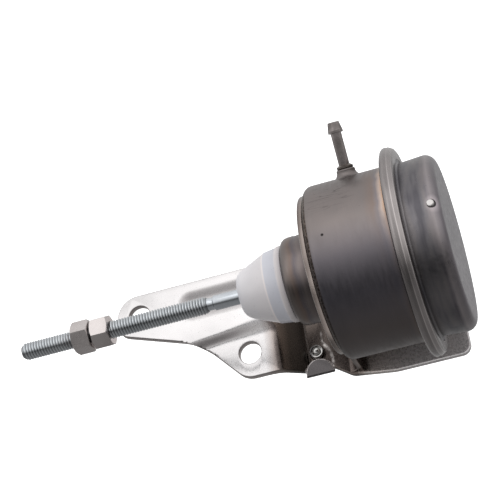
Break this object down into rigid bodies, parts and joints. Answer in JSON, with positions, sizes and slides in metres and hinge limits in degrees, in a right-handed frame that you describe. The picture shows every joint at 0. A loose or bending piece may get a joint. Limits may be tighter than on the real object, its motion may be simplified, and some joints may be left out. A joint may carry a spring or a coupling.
{
  "type": "wastegate actuator",
  "caption": "Round vacuum actuator on a pressed steel bracket, its threaded rod sliding in a silicone boot to move a valve lever.",
  "frame": {"origin": "start of the rod's thread at its free end, on the rod's centre line", "axes": "+X along the rod towards the can; +Z square to the bracket's bolt plate, from the plate towards the rod; +Y completes the frame, towards the upper bolt hole"},
  "size_m": [0.153, 0.0778, 0.0752],
  "materials": {
    "zinc_plate": "bright zinc plate with a bluish cast",
    "nut_steel": "brownish grey plated steel",
    "bracket_steel": "satin pressed steel with fine specks",
    "can_steel": "satin stainless steel with heat tints",
    "neck_steel": "stainless steel, heat tinted brown and blue",
    "nipple_steel": "satin steel",
    "braze_metal": "dull braze",
    "silicone": "frosted translucent silicone",
    "black_rubber": "matte moulded rubber",
    "bronze": "oiled sintered bronze",
    "spring_steel": "drawn spring wire",
    "inner_steel": "zinc plated pressed steel"
  },
  "bodies": {
    "housing": {"bracket": "bracket_steel", "bracket_stud": "zinc_plate", "front_can": "can_steel", "rear_cap": "can_steel", "vent_plug": "inner_steel", "crimp_ring": "can_steel", "nipple": "nipple_steel", "nipple_braze": "braze_metal", "neck_cup": "neck_steel", "guide_bush": "bronze", "rod_seal": "black_rubber", "seal_retainer": "inner_steel", "boot": "silicone", "spring_seat": "inner_steel", "return_spring": "spring_steel", "diaphragm": "black_rubber"},
    "rod": {"rod": "zinc_plate", "piston_cup": "inner_steel", "diaphragm_plate": "inner_steel", "rod_washer": "inner_steel", "bump_stop": "black_rubber"},
    "lock_nut_body": {"lock_nut": "nut_steel"},
    "adjuster_nut_body": {"adjuster_nut": "nut_steel"}
  },
  "joints": [
    {"name": "rod_slide", "type": "slide", "parent": "housing", "child": "rod", "axis": [-1, 0, 0], "range_m": [0, 0.01], "stiffness_N_per_m": 2500, "springref_m": -0.008, "deforming": ["return_spring", "diaphragm"]},
    {"name": "lock_nut_turn", "type": "hinge", "parent": "rod", "child": "lock_nut_body", "pos_m": [0.0215, 0, 0], "axis": [1, 0, 0], "continuous": true},
    {"name": "adjuster_nut_turn", "type": "hinge", "parent": "rod", "child": "adjuster_nut_body", "pos_m": [0.0286, 0, 0], "axis": [1, 0, 0], "continuous": true}
  ]
}
